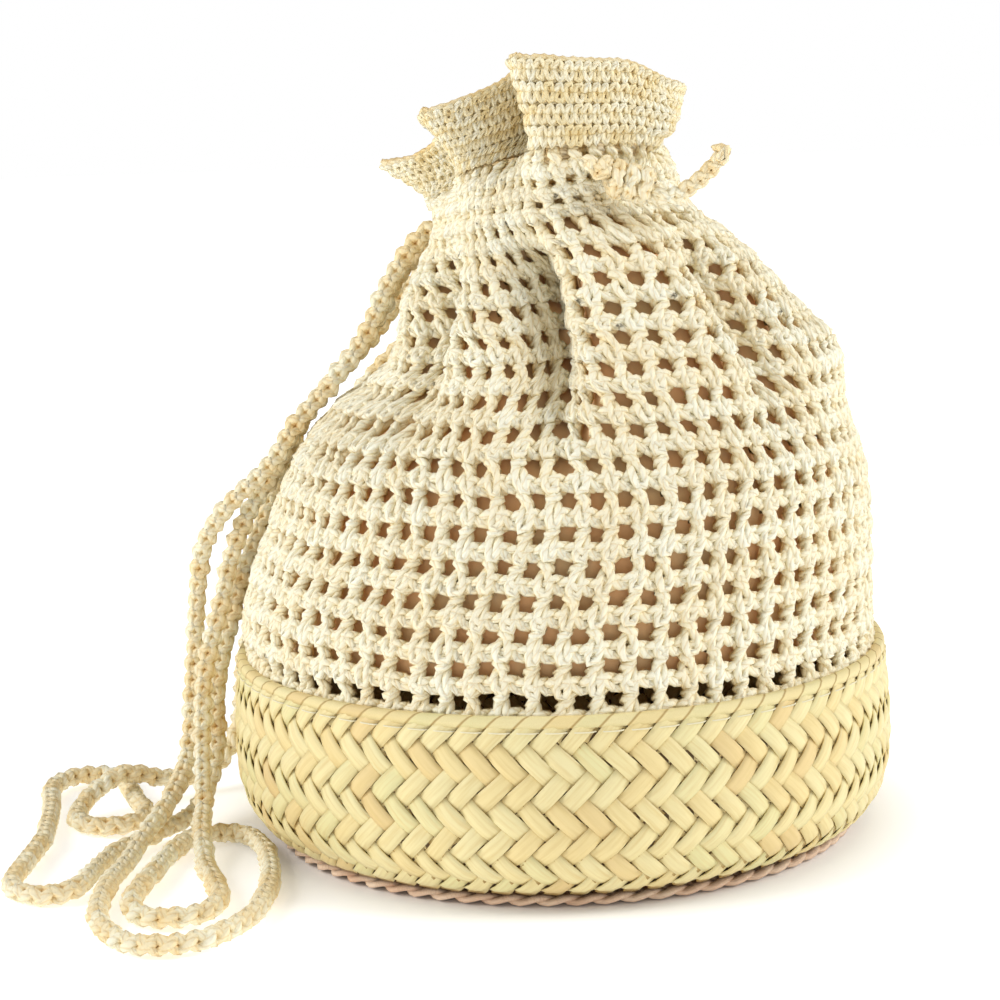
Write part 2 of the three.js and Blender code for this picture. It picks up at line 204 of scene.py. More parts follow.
# Periods of a plait laid along a path, which may be a closed ring
def makePlaitTree():
    tree, given = newTree("plait along a path", {
        "Stitches": "Collection", "Kinds": "Int", "Period": "Float", "Closed": "Bool", "Seed": "Int",
        "Finish": "Material"})
    curve = addNode(tree, "GeometryNodeMeshToCurve", {0: given["Geometry"]}).outputs[0]
    length = addNode(tree, "GeometryNodeCurveLength", {0: curve}).outputs[0]
    count = mathOf(tree, "ROUND", mathOf(tree, "DIVIDE", length, given["Period"]))
    index = addNode(tree, "GeometryNodeInputIndex").outputs[0]
    pick = randomKind(tree, given["Kinds"], given["Seed"])
    plait = stitchesOf(tree, count, joinOf(tree, index, 0.0, 0.0), given["Stitches"], pick, given["Seed"])
    skin = addNode(tree, "GeometryNodeInputPosition").outputs[0]
    spine = namedVector(tree, "spine")
    skinAlong, _, _ = splitOf(tree, skin)
    cellNumber, _, _ = splitOf(tree, namedVector(tree, "cell"))
    share, _, _ = splitOf(tree, spine)
    _, across, over = splitOf(tree, vectorOf(tree, "ADD", spine, skin))
    step = mathOf(tree, "DIVIDE", length, count)
    start = mathOf(tree, "MULTIPLY", mathOf(tree, "ADD", cellNumber, share), step)
    along = mathOf(tree, "ADD", start, skinAlong)
    held = mathOf(tree, "MINIMUM", mathOf(tree, "MAXIMUM", along, 0.0), length)
    where = addNode(tree, "GeometryNodeSwitch", {
        "Switch": given["Closed"], "False": held, "True": mathOf(tree, "FLOORED_MODULO", along, length)},
        input_type="FLOAT").outputs[0]
    sample = addNode(tree, "GeometryNodeSampleCurve", {"Curves": curve, "Length": where}, mode="LENGTH")
    normal = sample.outputs["Normal"]
    binormal = vectorOf(tree, "CROSS_PRODUCT", sample.outputs["Tangent"], normal)
    place = vectorOf(tree, "ADD", sample.outputs["Position"], scaledBy(tree, normal, across))
    place = vectorOf(tree, "ADD", place, scaledBy(tree, binormal, over))
    return finishTree(tree, plait, place, given["Finish"])


wrapTree = makeWrapTree()
plaitTree = makePlaitTree()


# Mesh that a tree makes from a carrier mesh, with the open ends of its strands closed
def growMesh(name, carrier, tree, values):
    holder = bpy.data.objects.new(name, carrier)
    scene.collection.objects.link(holder)
    modifier = holder.modifiers.new("grow", "NODES")
    modifier.node_group = tree
    for item in tree.interface.items_tree:
        if item.in_out == "INPUT" and item.name in values:
            modifier[item.identifier] = values[item.name]
    graph = bpy.context.evaluated_depsgraph_get()
    grown = holder.evaluated_get(graph)
    mesh = bpy.data.meshes.new_from_object(grown, preserve_all_data_layers=True, depsgraph=graph)
    holder.modifiers.remove(modifier)
    bpy.data.objects.remove(holder)
    work = bmesh.new()
    work.from_mesh(mesh)
    edges = [edge for edge in work.edges if edge.is_boundary]
    bmesh.ops.holes_fill(work, edges=edges, sides=12)
    bmesh.ops.recalc_face_normals(work, faces=work.faces)
    work.to_mesh(mesh)
    work.free()
    mesh.name = name
    return mesh


def addPiece(name, mesh, finish, node):
    mesh.materials.clear()
    mesh.materials.append(finish)
    piece = bpy.data.objects.new(name, mesh)
    scene.collection.objects.link(piece)
    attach(piece, "root")
    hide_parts(node)
    mesh.calc_loop_triangles()
    print(name, len(mesh.loop_triangles), "triangles")
    return piece


def growPiece(name, carrier, tree, finish, node, values):
    mesh = growMesh(name, carrier, tree, {**values, "Finish": finish})
    return addPiece(name, mesh, finish, node)


# Point on a centripetal curve through the points, as the CAD straps are drawn
def smoothPath(points, count):
    points = np.asarray(points, float)
    ends = np.vstack([2 * points[0] - points[1], points, 2 * points[-1] - points[-2]])
    place = np.linspace(0, len(points) - 1, count)
    low = np.minimum(np.floor(place).astype(int), len(points) - 2)
    share = (place - low)[:, None]
    a, b, c, d = (ends[low + step] for step in range(4))
    spans = ((a, b), (b, c), (c, d))
    ab, bc, cd = (np.linalg.norm(far - near, axis=1)[:, None] ** 0.5 for near, far in spans)
    inSlope = ((b - a) / ab - (c - a) / (ab + bc) + (c - b) / bc) * bc
    outSlope = ((c - b) / bc - (d - b) / (bc + cd) + (d - c) / cd) * bc
    square = share ** 2
    cube = share ** 3
    return (b * (2 * cube - 3 * square + 1) + inSlope * (cube - 2 * square + share)
            + c * (3 * square - 2 * cube) + outSlope * (cube - square))


def pathMesh(name, points, closed=False):
    count = len(points)
    edges = [(i, i + 1) for i in range(count - 1)]
    if closed:
        edges.append((count - 1, 0))
    mesh = bpy.data.meshes.new(name)
    mesh.from_pydata(np.asarray(points).tolist(), edges, [])
    return mesh


# Strands of one stitch. A strand is a path of (across, along, out) in stitch units and metres, whose end
# points only give its direction; the mesh keeps each ring's own offset, and the path as its spine.
# Its depth goes from 0 to 1, outward from the back of a flat stitch or from the middle of a round cord.
def strandMesh(name, strands, scale, flat):
    spines = []
    skins = []
    faces = []
    maps = []
    for path, width, depth, sides in strands:
        path = np.asarray(path, float)
        metric = path * scale
        heading = metric[2:] - metric[:-2]
        heading /= np.linalg.norm(heading, axis=1)[:, None]
        side = np.cross(heading, (0, 0, 1))
        side /= np.linalg.norm(side, axis=1)[:, None]
        top = np.cross(side, heading)
        turns = np.linspace(0, 2 * np.pi, sides, endpoint=False)
        rings = side[:, None] * np.cos(turns)[:, None] * width
        rings = rings + top[:, None] * np.sin(turns)[:, None] * depth
        start = sum(len(part) for part in spines)
        count = len(heading)
        spines.append(np.repeat(path[1:-1], sides, axis=0))
        skins.append(rings.reshape(-1, 3))
        along = np.concatenate([[0], np.cumsum(np.linalg.norm(np.diff(metric[1:-1], axis=0), axis=1))])
        for i in range(count - 1):
            for k in range(sides):
                after = (k + 1) % sides
                near = start + i * sides
                far = near + sides
                faces.append((near + k, far + k, far + after, near + after))
                low = k / sides
                high = (k + 1) / sides
                maps.extend([(along[i], low), (along[i + 1], low), (along[i + 1], high), (along[i], high)])
    skin = np.vstack(skins)
    spine = np.vstack(spines)
    out = spine[:, 2] + skin[:, 2] if flat else np.hypot(spine[:, 1] + skin[:, 1], spine[:, 2] + skin[:, 2])
    return cellObject(name, skin, spine, faces, maps, (out - out.min()) / np.ptp(out))


def cellObject(name, skins, spines, faces, maps, depth):
    mesh = bpy.data.meshes.new(name)
    mesh.from_pydata(skins.tolist(), [], faces)
    mesh.attributes.new("spine", "FLOAT_VECTOR", "POINT").data.foreach_set("vector", spines.ravel())
    mesh.attributes.new("depth", "FLOAT", "POINT").data.foreach_set("value", depth)
    yarnMap = mesh.uv_layers.new(name="yarn")
    yarnMap.data.foreach_set("uv", np.asarray(maps, float).ravel())
    cell = bpy.data.objects.new(name, mesh)
    scene.collection.objects.link(cell)
    cells.append(cell)
    return cell


cells = []
stitchSets = []


# Stitches to pick from, in the order of their names
def stitchSet(name, stitches):
    group = bpy.data.collections.new(name)
    for stitch in stitches:
        group.objects.link(stitch)
    stitchSets.append(group)
    return group


# One period of a flat plait of three strands, as three thirds of the same weave
def plaitPeriod(name, plait):
    steps = plait["steps"]
    share = np.arange(-1, steps + 2) / steps
    strands = []
    for third in range(3):
        phase = 2 * np.pi * (share + third) / 3
        across = plait["spread"] * np.sin(phase)
        over = plait["weave"] * np.sin(2 * phase)
        path = np.stack([share, across, over], axis=1)
        strands.append((path, plait["yarnWidth"], plait["yarnDepth"], plait["sides"]))
    return stitchSet(name, [strandMesh(name, strands, (plait["pitch"], 1, 1), flat=False)])


# Half a turn of a round cord of four strands, two turning each way, in a few uneven kinds
def cordPeriods(name, cord):
    share = np.arange(-1, cord["steps"] + 2) / cord["steps"]
    middle = np.clip(np.sin(np.pi * share), 0, 1) ** 2  # the ends stay put, to meet the next period
    periods = []
    for kind in range(cord["kinds"]):
        chance = np.random.default_rng(kind)
        strands = []
        for way in (1, -1):
            for start in (0, np.pi):
                turn = start + np.pi * share
                out = cord["ring"] + way * cord["weave"] * np.cos(2 * turn)
                out = out + middle * chance.normal(0, cord["uneven"])
                path = np.stack([share, out * np.cos(turn), way * out * np.sin(turn)], axis=1)
                path[:, 1:] += middle[:, None] * chance.normal(0, cord["uneven"], 2)
                strands.append((path, cord["yarn"], cord["yarn"], cord["sides"]))
        periods.append(strandMesh(f"{name}_{kind}", strands, (cord["pitch"], 1, 1), flat=False))
    return stitchSet(name, periods)


# Materials
def newFinish(name):
    finish = bpy.data.materials.new(name)
    finish.use_nodes = True
    return finish, finish.node_tree, finish.node_tree.nodes["Principled BSDF"]


def rampOf(tree, factor, stops):
    ramp = addNode(tree, "ShaderNodeValToRGB", {0: factor})
    elements = ramp.color_ramp.elements
    while len(elements) < len(stops):
        elements.new(0.5)
    for element, (position, colour) in zip(elements, stops):
        element.position = position
        element.color = (*colour, 1)
    return ramp.outputs[0]


def attributeOf(tree, name):
    return addNode(tree, "ShaderNodeAttribute", attribute_name=name).outputs["Fac"]


def objectPlace(tree):
    return addNode(tree, "ShaderNodeTexCoord").outputs["Object"]


def roughen(tree, shader, look, height):
    bump = addNode(tree, "ShaderNodeBump", {
        "Strength": look["bump"], "Distance": look["bumpDepth"], "Height": height}).outputs[0]
    tree.links.new(bump, shader.inputs["Normal"])
    shader.inputs["Roughness"].default_value = look["roughness"]
    shader.inputs["Specular IOR Level"].default_value = look["shine"]


def mixOf(tree, factor, first, second, blend="MIX"):
    return addNode(tree, "ShaderNodeMix", {0: factor, 6: first, 7: second},
                   data_type="RGBA", blend_type=blend).outputs[2]


# Undyed cotton, with painted shade: tan and darker towards the depth of the stitches, and darker in the
# grooves between its plies. Soft blotches vary its tone, and the twist of its plies is also a bump.
def cottonFinish(name, look):
    finish, tree, shader = newFinish(name)
    # painted shade: tan at the back of a stitch or the middle of a cord, pale cream at its front
    base = rampOf(tree, attributeOf(tree, "depth"), look["depthShade"])
    where = objectPlace(tree)
    blotch = noiseOf(tree, where, look["blotchScale"], 3.0)["Fac"]
    tone = mathOf(tree, "MULTIPLY", attributeOf(tree, "tone"), look["toneShare"])
    uneven = mathOf(tree, "ADD", blotch, tone)
    amount = rangeOf(tree, uneven, 0.5, 0.5 + look["toneShare"], 0.0, look["blotch"])
    stained = mixOf(tree, amount, base, (*look["blotchColour"], 1), blend="MULTIPLY")
    along, turnShare, _ = splitOf(tree, addNode(tree, "ShaderNodeUVMap", uv_map="yarn").outputs[0])
    plies = mathOf(tree, "ADD", mathOf(tree, "MULTIPLY", turnShare, look["plies"]),
                   mathOf(tree, "DIVIDE", along, look["plyPitch"]))
    ridge = mathOf(tree, "ABSOLUTE", mathOf(tree, "SINE", mathOf(tree, "MULTIPLY", plies, math.pi)))
    # painted shade: the grooves between the plies are darkened
    groove = rangeOf(tree, ridge, 0.0, look["grooveWidth"], look["groove"], 0.0)
    grooveShaded = mixOf(tree, groove, stained, (*look["grooveShadeColour"], 1), blend="MULTIPLY")
    tree.links.new(grooveShaded, shader.inputs["Base Color"])
    fuzz = noiseOf(tree, where, look["fuzzScale"], 2.0)["Fac"]
    roughen(tree, shader, look, mathOf(tree, "ADD", ridge, fuzz))
    return finish


cottonLook = {
    # painted shade by depth in the stitch, darkest and warmest at the back
    "depthShade": [(0.0, (0.82, 0.58, 0.25)), (0.35, (0.92, 0.77, 0.47)), (0.65, (0.96, 0.89, 0.65)),
               (1.0, (0.98, 0.955, 0.79))],
    "blotchColour": (0.97, 0.86, 0.68),
    "blotch": 0.5,
    "blotchScale": 60.0,
    "toneShare": 0.5,
    "plies": 3.0,
    "plyPitch": 0.0042,
    "groove": 0.5,
    "grooveWidth": 0.5,
    "grooveShadeColour": (0.84, 0.66, 0.42),
    "fuzzScale": 1500.0,
    "bump": 0.8,
    "bumpDepth": 0.0005,
    "roughness": 0.95,
    "shine": 0.1,
}
cotton = cottonFinish("undyed cotton", cottonLook)
frillCotton = cottonFinish("border cotton", {
    **cottonLook,
    # painted shade: tan in the middle depth of the stitches
    "depthShade": [(0.0, (0.94, 0.86, 0.64)), (0.3, (0.86, 0.65, 0.34)), (0.65, (0.95, 0.875, 0.63)),
               (1.0, (0.97, 0.935, 0.76))],  # pale again at the back, which is seen in the mouth
    "blotch": 1.0,
    "blotchColour": (0.93, 0.82, 0.60),
})
cordCotton = cottonFinish("cord cotton", {**cottonLook, "blotch": 0.8, "blotchColour": (0.95, 0.80, 0.58)})


# Split palm: a tone for each strip, with streaks along the leaf and now and then a tan or green one, and
# painted shade, dark brown, where the strip lies low: at the ends where it dives under, and deep in a plait
def palmFinish(name, look):
    finish, tree, shader = newFinish(name)
    tone = attributeOf(tree, "tone")
    base = rampOf(tree, tone, look["tones"])
    along, across, _ = splitOf(tree, addNode(tree, "ShaderNodeUVMap", uv_map="yarn").outputs[0])
    leaf = joinOf(tree, mathOf(tree, "MULTIPLY", along, look["streakLength"]),
                  mathOf(tree, "MULTIPLY", across, look["streaks"]),
                  mathOf(tree, "MULTIPLY", tone, look["stripShift"]))
    streak = noiseOf(tree, leaf, 1.0, 3.0)["Fac"]
    amount = rangeOf(tree, streak, *look["streakRange"], 0.0, look["streak"])
    streaked = mixOf(tree, amount, base, (*look["streakColour"], 1))
    # painted shade: dark brown where the strip lies deepest
    tuckShade = rangeOf(tree, attributeOf(tree, "depth"), 0.0, look["tuckShadeReach"], 1.0, 0.0)
    tree.links.new(mixOf(tree, tuckShade, streaked, (*look["tuckShadeColour"], 1)), shader.inputs["Base Color"])
    roughen(tree, shader, look, streak)
    return finish


palmLook = {
    "tones": [(0.0, (0.78, 0.72, 0.37)), (0.2, (0.85, 0.75, 0.41)), (0.6, (0.85, 0.73, 0.38)),
              (0.9, (0.84, 0.68, 0.33)), (1.0, (0.78, 0.59, 0.28))],
    "streakColour": (0.70, 0.53, 0.22),
    "streak": 0.6,
    "streakRange": (0.42, 0.75),  # of the noise
    "streaks": 5.0,
    "streakLength": 60.0,
    "stripShift": 90.0,  # moves the noise, so that no two strips are alike
    "tuckShadeColour": (0.42, 0.26, 0.07),
    "tuckShadeReach": 0.35,
    "bump": 0.4,
    "bumpDepth": 0.0002,
    "roughness": 0.5,
    "shine": 0.35,
}
palm = palmFinish("split palm", palmLook)
palmEdge = palmFinish("brown palm", {
    **palmLook,
    "tones": [(0.0, (0.84, 0.57, 0.40)), (0.5, (0.93, 0.68, 0.50)), (1.0, (0.96, 0.76, 0.58))],
    "streakColour": (0.66, 0.40, 0.25),
    "tuckShadeColour": (0.22, 0.11, 0.05),
    "roughness": 0.65,
    "shine": 0.25,
})


def plainFinish(name, colour, roughness):
    finish, _, shader = newFinish(name)
    shader.inputs["Base Color"].default_value = (*colour, 1)
    shader.inputs["Roughness"].default_value = roughness
    return finish


liningLook = {
    "tones": [(0.35, (0.88, 0.64, 0.36)), (0.6, (1.0, 0.62, 0.32))],
    "blotchScale": 35.0,
    "roughness": 0.95,
}
liningFinish, liningTree, liningShader = newFinish("tan lining cloth")
liningBlotch = noiseOf(liningTree, objectPlace(liningTree), liningLook["blotchScale"], 2.0)["Fac"]
liningTree.links.new(rampOf(liningTree, liningBlotch, liningLook["tones"]), liningShader.inputs["Base Color"])
liningShader.inputs["Roughness"].default_value = liningLook["roughness"]
underPalm = plainFinish("shaded palm", (0.16, 0.10, 0.045), 0.8)
threadFinish = plainFinish("sewing thread", (0.80, 0.74, 0.52), 0.8)
print("finishes made")

# Straps: each is a doubled cord that leaves the neck, goes down the left side, lies in loops and comes back
strap = {"diameter": 0.009, "samples": 900}
strapCord = {
    "pitch": 0.0070,  # half a turn of its strands
    "ring": 0.0020,
    "weave": 0.0004,
    "yarn": 0.0021,
    "steps": 6,
    "sides": 5,
    "kinds": 5,
    "uneven": 0.0003,
}
strapRoutes = {
    "strap_a": [
        (-0.0393, 0.0072, 0.25), (-0.05, 0.008, 0.248), (-0.065, 0.006, 0.23), (-0.077, 0.004, 0.206),
        (-0.091, 0.002, 0.188), (-0.107, 0.001, 0.171), (-0.118, 0.001, 0.155), (-0.135, 0.003, 0.139),
        (-0.148, 0.008, 0.121), (-0.156, 0.011, 0.066), (-0.16, 0.006, 0.03), (-0.166, -0.016, 0.016),
        (-0.17, -0.036, 0.0126), (-0.177, -0.064, 0.0058), (-0.1815, -0.102, 0.005), (-0.177, -0.136, 0.005),
        (-0.16, -0.159, 0.005), (-0.138, -0.157, 0.005), (-0.122, -0.134, 0.005), (-0.117, -0.098, 0.005),
        (-0.121, -0.062, 0.005), (-0.126, -0.044, 0.005), (-0.132, -0.0325, 0.005), (-0.143, -0.0275, 0.005),
        (-0.154, -0.0325, 0.005), (-0.16, -0.048, 0.005), (-0.165, -0.078, 0.005), (-0.169, -0.104, 0.005),
        (-0.165, -0.125, 0.005), (-0.153, -0.132, 0.005), (-0.14, -0.127, 0.005), (-0.135, -0.112, 0.005),
        (-0.139, -0.092, 0.005), (-0.145, -0.07, 0.0056), (-0.149, -0.046, 0.0105), (-0.15, -0.028, 0.017),
        (-0.151, -0.014, 0.038), (-0.149, -0.009, 0.068), (-0.141, -0.002, 0.098), (-0.137, 0.004, 0.114),
        (-0.128, 0.01, 0.135), (-0.116, 0.012, 0.152), (-0.105, 0.012, 0.172), (-0.09, 0.013, 0.189),
        (-0.076, 0.015, 0.206), (-0.058, 0.02, 0.235), (-0.0368, 0.0164, 0.249),
    ],
    "strap_b": [
        (-0.0259, 0.033, 0.247), (-0.037, 0.043, 0.243), (-0.058, 0.046, 0.223), (-0.084, 0.038, 0.194),
        (-0.104, 0.027, 0.172), (-0.12, 0.023, 0.138), (-0.135, 0.012, 0.1), (-0.145, 0.003, 0.062),
        (-0.148, 0.001, 0.028), (-0.156, -0.009, 0.009), (-0.172, -0.027, 0.005), (-0.184, -0.05, 0.005),
        (-0.189, -0.07, 0.005), (-0.191, -0.087, 0.005), (-0.1955, -0.096, 0.005), (-0.205, -0.1, 0.005),
        (-0.215, -0.0955, 0.005), (-0.2195, -0.085, 0.005), (-0.219, -0.062, 0.005), (-0.217, -0.03, 0.005),
        (-0.221, 0.012, 0.005), (-0.226, 0.045, 0.005), (-0.2215, 0.06, 0.005), (-0.21, 0.0653, 0.005),
        (-0.1985, 0.06, 0.005), (-0.193, 0.045, 0.005), (-0.185, 0.021, 0.005), (-0.179, 0.005, 0.005),
        (-0.1825, -0.0088, 0.005), (-0.1935, -0.0133, 0.005), (-0.2045, -0.0088, 0.005),
        (-0.208, 0.004, 0.0053), (-0.204, 0.019, 0.01), (-0.191, 0.029, 0.0152), (-0.175, 0.038, 0.01),
        (-0.157, 0.049, 0.009),
        (-0.144, 0.051, 0.027), (-0.138, 0.048, 0.062), (-0.128, 0.051, 0.096), (-0.098, 0.069, 0.158),
        (-0.046, 0.068, 0.214), (-0.028, 0.055, 0.238), (-0.0182, 0.039, 0.247),
    ],
}
strapPeriods = cordPeriods("strap_period", strapCord)
for strapSeed, (node, route) in enumerate(strapRoutes.items()):
    path = smoothPath(route, strap["samples"])
    carrier = pathMesh(node + "_path", path)
    piece = growPiece(node + "_plait", carrier, plaitTree, cordCotton, node, {
        "Stitches": strapPeriods, "Kinds": strapCord["kinds"], "Period": strapCord["pitch"], "Closed": False,
        "Seed": strapSeed})
print("straps laid")

# Shape of the gathered cloth, as in the CAD
bodySections = {
    "height": [0.064, 0.077, 0.092, 0.110, 0.130, 0.150, 0.172, 0.194, 0.214, 0.233, 0.251],
    "centreX": [0.0, 0.0, -0.001, 0.001, 0.005, 0.008, 0.011, 0.017, 0.016, 0.013, 0.006],
    "halfWidth": [0.1304, 0.1302, 0.130, 0.128, 0.124, 0.119, 0.109, 0.097, 0.083, 0.069, 0.053],
    "halfDepth": [0.1304, 0.1302, 0.130, 0.1275, 0.123, 0.117, 0.106, 0.092, 0.078, 0.065, 0.052],
}
# Folds: angle at the foot, at the neck and at the border, depth, half width to the left and to the right,
# run down from the neck, and the share of the depth that is left where the neck pinches it
folds = [
    (-3, -21, -34, 0.034, 0.014, 0.007, 0.118, 0.06),
    (-46, -64, -76, 0.025, 0.011, 0.011, 0.108, 0.08),
    (-102, -104, -108, 0.024, 0.011, 0.011, 0.084, 1),
    (-140, -142, -142, 0.024, 0.011, 0.011, 0.092, 1),
    (176, 178, 180, 0.023, 0.011, 0.011, 0.110, 1),
    (142, 142, 144, 0.024, 0.011, 0.011, 0.096, 1),
    (113, 108, 108, 0.022, 0.010, 0.010, 0.088, 1),
    (42, 46, 78, 0.020, 0.009, 0.014, 0.116, 0.1),
]
# Dents: angle, height before the neck is tilted, depth, spread in degrees and how tall
dents = [
    (-54, 0.184, 0.009, 24, 0.013),
    (-92, 0.200, 0.011, 28, 0.017),
    (4, 0.176, 0.004, 26, 0.012),
    (94, 0.198, -0.005, 18, 0.015),
    (158, 0.182, 0.007, 26, 0.014),
    (32, 0.258, 0.012, 26, 0.011),
    (84, 0.265, 0.007, 22, 0.008),
    (60, 0.279, -0.008, 22, 0.011),
]
# Lobes of the frill: angle, flare and rise
lobes = [
    (-90, 0.029, 0.020), (-58, 0.019, 0.037), (-24, 0.008, 0.053), (20, 0.004, 0.048), (56, 0.005, 0.039),
    (92, -0.003, 0.016), (126, 0.008, 0.032), (161, 0.010, 0.040), (199, 0.012, 0.038), (236, 0.016, 0.033),
]
neck = {
    "height": 0.255,
    "centreX": 0.006,
    "tiltRight": 0.004,
    "tiltFront": 0.007,
    "halfWidth": 0.053,
    "halfDepth": 0.052,
    "rowHalf": 0.004,
    "cordRing": 0.041,
    "cordSamples": 240,
}
foldFade = 0.6
pinchLength = 0.036  # cloth under the neck in which a pinched fold opens
pinchShare = 0.6  # share of the frill in which it opens above
tiltOnset = 3
flareOnset = 1.4


def smoothStep(value, low, high):
    share = np.clip((value - low) / (high - low), 0, 1)
    return share * share * (3 - 2 * share)


# Value of a table's column at a place between its rows, on the CAD's smooth curve
def columnAt(values, place):
    values = np.asarray(values, float)
    last = len(values) - 1
    low = np.minimum(np.floor(place).astype(int), last - 1)
    share = place - low
    a, b, c, d = (values[np.clip(low + step, 0, last)] for step in (-1, 0, 1, 2))
    square = share ** 2
    cube = share ** 3
    return (b * (2 * cube - 3 * square + 1) + (c - a) / 2 * (cube - 2 * square + share)
            + c * (3 * square - 2 * cube) + (d - b) / 2 * (cube - square))


def turnBetween(start, angle):
    return (angle - start + 180) % 360 - 180


def neckLift(angle):
    return neck["tiltRight"] * np.sin(np.radians(angle)) + neck["tiltFront"] * np.cos(np.radians(angle))


def ellipseRadius(angle, halfWidth, halfDepth):
    return 1 / np.hypot(np.sin(np.radians(angle)) / halfWidth, np.cos(np.radians(angle)) / halfDepth)


def pointAt(angle, radius, centreX, height):
    turn = np.radians(angle)
    return np.stack([centreX + radius * np.sin(turn), -radius * np.cos(turn), height + 0 * turn], axis=-1)


def foldCut(angle, radius, centre, depth, left, right):
    along = np.radians(turnBetween(centre, angle)) * radius
    return depth * np.exp(-(along / np.where(along < 0, left, right)) ** 2)


def dentCut(angle, height):
    cut = np.zeros_like(angle)
    for dentAngle, level, depth, spread, tall in dents:
        cut += depth * np.exp(-(turnBetween(dentAngle, angle) / spread) ** 2 - ((height - level) / tall) ** 2)
    return cut


def opened(pinch, share):
    return pinch + (1 - pinch) * smoothStep(share, 0, 1)


clothSteps = np.hypot(np.diff(bodySections["height"]), np.diff(bodySections["halfWidth"]))
clothBelowNeck = np.append(np.cumsum(clothSteps[::-1])[::-1], 0)


def bodyPoint(angle, place):
    height, centreX, halfWidth, halfDepth = (columnAt(bodySections[name], place) for name in bodySections)
    below = columnAt(clothBelowNeck, place)
    plain = ellipseRadius(angle, halfWidth, halfDepth)
    radius = plain - dentCut(angle, height)
    for foot, top, _, depth, left, right, run, pinch in folds:
        centre = top + (foot - top) * min(below / run, 1)
        size = depth * opened(pinch, below / pinchLength) * smoothStep(run - below, 0, run * foldFade)
        radius -= foldCut(angle, plain, centre, size, left, right)
    neckShare = (place / (len(clothBelowNeck) - 1)) ** tiltOnset
    return pointAt(angle, radius, centreX, height + neckLift(angle) * neckShare)


def lobeAt(angle, column):
    ring = lobes + [(lobes[0][0] + 360, *lobes[0][1:])]
    turned = lobes[0][0] + (angle - lobes[0][0]) % 360
    value = np.zeros_like(angle)
    for near, far in zip(ring, ring[1:]):
        share = smoothStep(turned, near[0], far[0])
        here = (turned >= near[0]) & (turned <= far[0])
        value = np.where(here, near[column] + (far[column] - near[column]) * share, value)
    return value


def frillPoint(angle, up):
    plain = ellipseRadius(angle, neck["halfWidth"], neck["halfDepth"])
    height = neck["height"] + neck["rowHalf"] + lobeAt(angle, 2) * up
    radius = plain + lobeAt(angle, 1) * up ** flareOnset - dentCut(angle, height)
    for _, top, border, depth, left, right, _, pinch in folds:
        size = depth * opened(pinch, up / pinchShare)
        radius -= foldCut(angle, plain, top + (border - top) * up, size, left, right)
    return pointAt(angle, radius, neck["centreX"], height + neckLift(angle))


# Columns are spread by length round the ring. At the neck the front ones keep their width, while the folds at
# the sides and back take up the rest. The middle one keeps to the front fold. All go straight up the frill.
frontEase = {"angle": 8, "spread": 72, "rows": [6, 15, 17, 20], "ease": [0, 0.40, 0.40, 0.15]}
frillColumns = {"rows": [11, 18], "levels": [0.2, 0.6, 1.0], "foldAngle": -28}
spreadAngles = np.linspace(-180, 180, 1441)  # every quarter of a degree


def ringSteps(pointOf):
    return np.linalg.norm(np.diff(pointOf(spreadAngles), axis=0), axis=1)


frillRings = [ringSteps(lambda angle: frillPoint(angle, up)) for up in frillColumns["levels"]]
frillSteps = np.mean(frillRings, axis=0)


# Ring of points along an outline, from the back and a little past it at both ends
def spreadRing(pointOf, row, columns, pad, foldAngle):
    straight = smoothStep(row, *frillColumns["rows"])
    steps = ringSteps(pointOf) * (1 - straight) + frillSteps * straight
    foldAngle = foldAngle * (1 - straight) + frillColumns["foldAngle"] * straight
    ease = np.interp(row, frontEase["rows"], frontEase["ease"])
    middles = (spreadAngles[1:] + spreadAngles[:-1]) / 2
    steps = steps * (1 - ease * np.exp(-((middles - frontEase["angle"]) / frontEase["spread"]) ** 2))
    lengths = np.concatenate([[0], np.cumsum(steps)])
    shares = np.arange(-pad, columns + pad + 1) / columns
    wrapped = np.where(shares == 1, 1, shares % 1)
    middle = np.interp(foldAngle, spreadAngles, lengths)
    spots = np.interp(wrapped, [0, 0.5, 1], [0, middle, lengths[-1]])
    return pointOf(np.interp(spots, lengths, spreadAngles))


def surfaceMesh(name, grid, pad, levels):
    rows, columns, _ = grid.shape
    around = np.gradient(grid, axis=1)
    up = np.gradient(grid, axis=0)
    around /= np.linalg.norm(around, axis=2)[..., None]
    up /= np.linalg.norm(up, axis=2)[..., None]
    out = np.cross(around, up)
    out /= np.linalg.norm(out, axis=2)[..., None]
    across = np.arange(-pad, columns - pad) / (columns - 2 * pad - 1)
    weave = np.zeros((rows, columns, 3))
    weave[..., 0] = across[None, :]
    weave[..., 1] = levels[:, None]
    corner = np.arange(rows * columns).reshape(rows, columns)
    quads = np.stack([corner[:-1, :-1], corner[:-1, 1:], corner[1:, 1:], corner[1:, :-1]], axis=-1)
    mesh = bpy.data.meshes.new(name)
    mesh.from_pydata(grid.reshape(-1, 3).tolist(), [], quads.reshape(-1, 4).tolist())
    for attribute, values in (("weave", weave), ("around", around), ("up", up), ("out", out)):
        mesh.attributes.new(attribute, "FLOAT_VECTOR", "POINT").data.foreach_set("vector", values.ravel())
    return mesh


# Rows of crochet: the open mesh of the body, the row for the neck cord, two open rows and the close border
crochet = {
    "bodyRows": 17,
    "columns": 70,
    "openRows": 2,
    "borderRows": 8,
    "borderColumns": 150,
    "openShare": 0.34,  # share of the frill that is open mesh
    "inset": -0.0024,  # middle of the cloth, from the CAD's outer face
    "wobble": (0.55, 0.5, 0.0016),
    "wobbleScale": 0.6,
}
clothGrid = {"columns": 560, "perRow": 4, "pad": 3}
neckRow = crochet["bodyRows"]
openRow = neckRow + 1
borderRow = openRow + crochet["openRows"]
allRows = borderRow + crochet["borderRows"]


